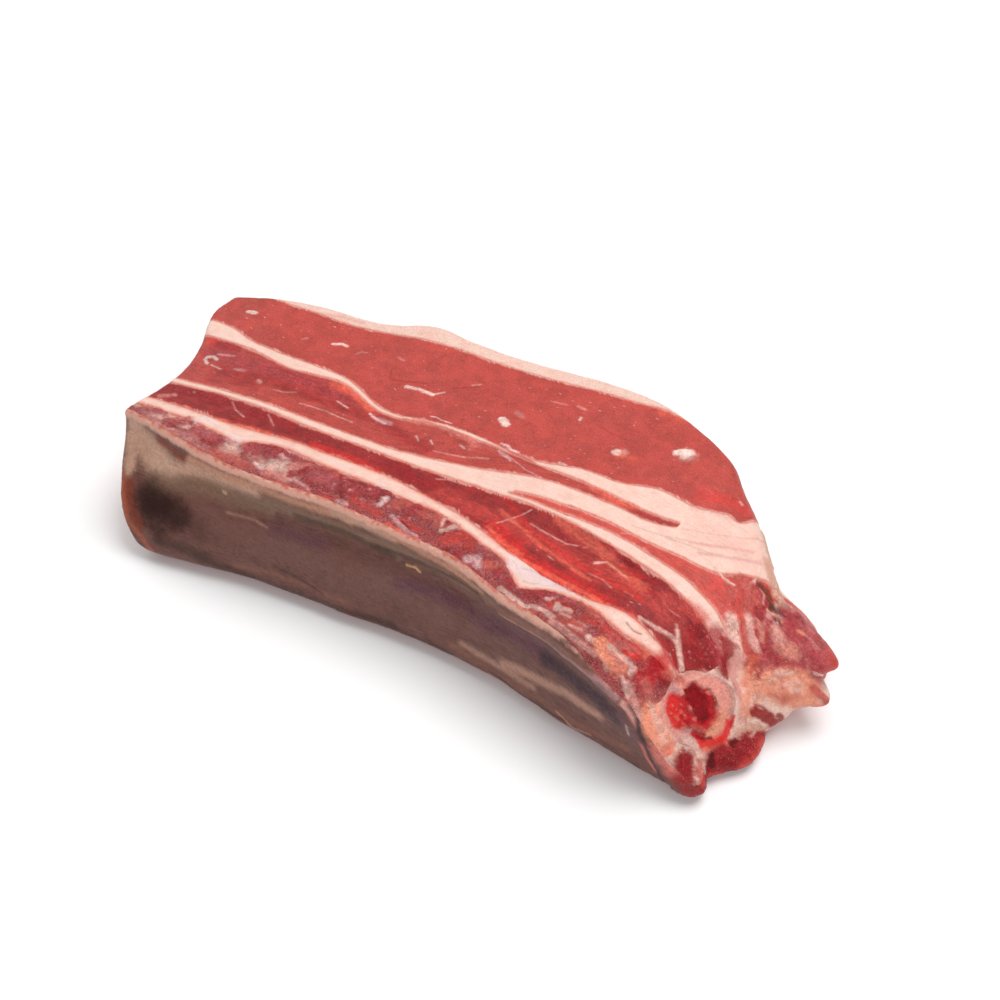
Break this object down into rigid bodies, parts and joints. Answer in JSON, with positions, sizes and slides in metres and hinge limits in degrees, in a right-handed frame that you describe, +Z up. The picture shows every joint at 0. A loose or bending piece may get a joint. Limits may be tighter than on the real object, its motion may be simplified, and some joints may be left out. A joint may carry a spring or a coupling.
{
  "type": "raw beef short rib",
  "caption": "Raw bone-in beef short rib, one long rib lying on its cut side, with layers of muscle and fat, a grey-brown rib-side skin, a sawn bone end and a thin fat cover.",
  "frame": {"origin": "middle of the bounding box's underside, on the surface the meat lies on", "axes": "+X along the rib towards the sawn bone end that shows, +Y from the rib-side skin to the fat cover, +Z up from the cut side it lies on to the cut side that shows"},
  "size_m": [0.2717, 0.1427, 0.0468],
  "materials": {
    "muscle": "moist, slightly glossy red meat",
    "dark_muscle": "wet, dark crimson meat",
    "fat": "satin cream and pink fat",
    "bone": "sawn, pale pink, satin",
    "marrow": "wet red spongy bone",
    "membrane": "thin satin grey-brown skin"
  },
  "bodies": {
    "root": {"rib_membrane": "membrane", "intercostal_muscle": "dark_muscle", "inner_fat_seam": "fat", "inner_muscle": "dark_muscle", "bone_bed": "fat", "floor_muscle": "dark_muscle", "rib_bone": "bone", "bone_marrow": "marrow", "branching_fat_seam": "fat", "wedge_muscle": "muscle", "end_fat_lump": "fat", "middle_muscle": "muscle", "outer_muscle": "muscle", "fat_cover": "fat"}
  },
  "joints": []
}
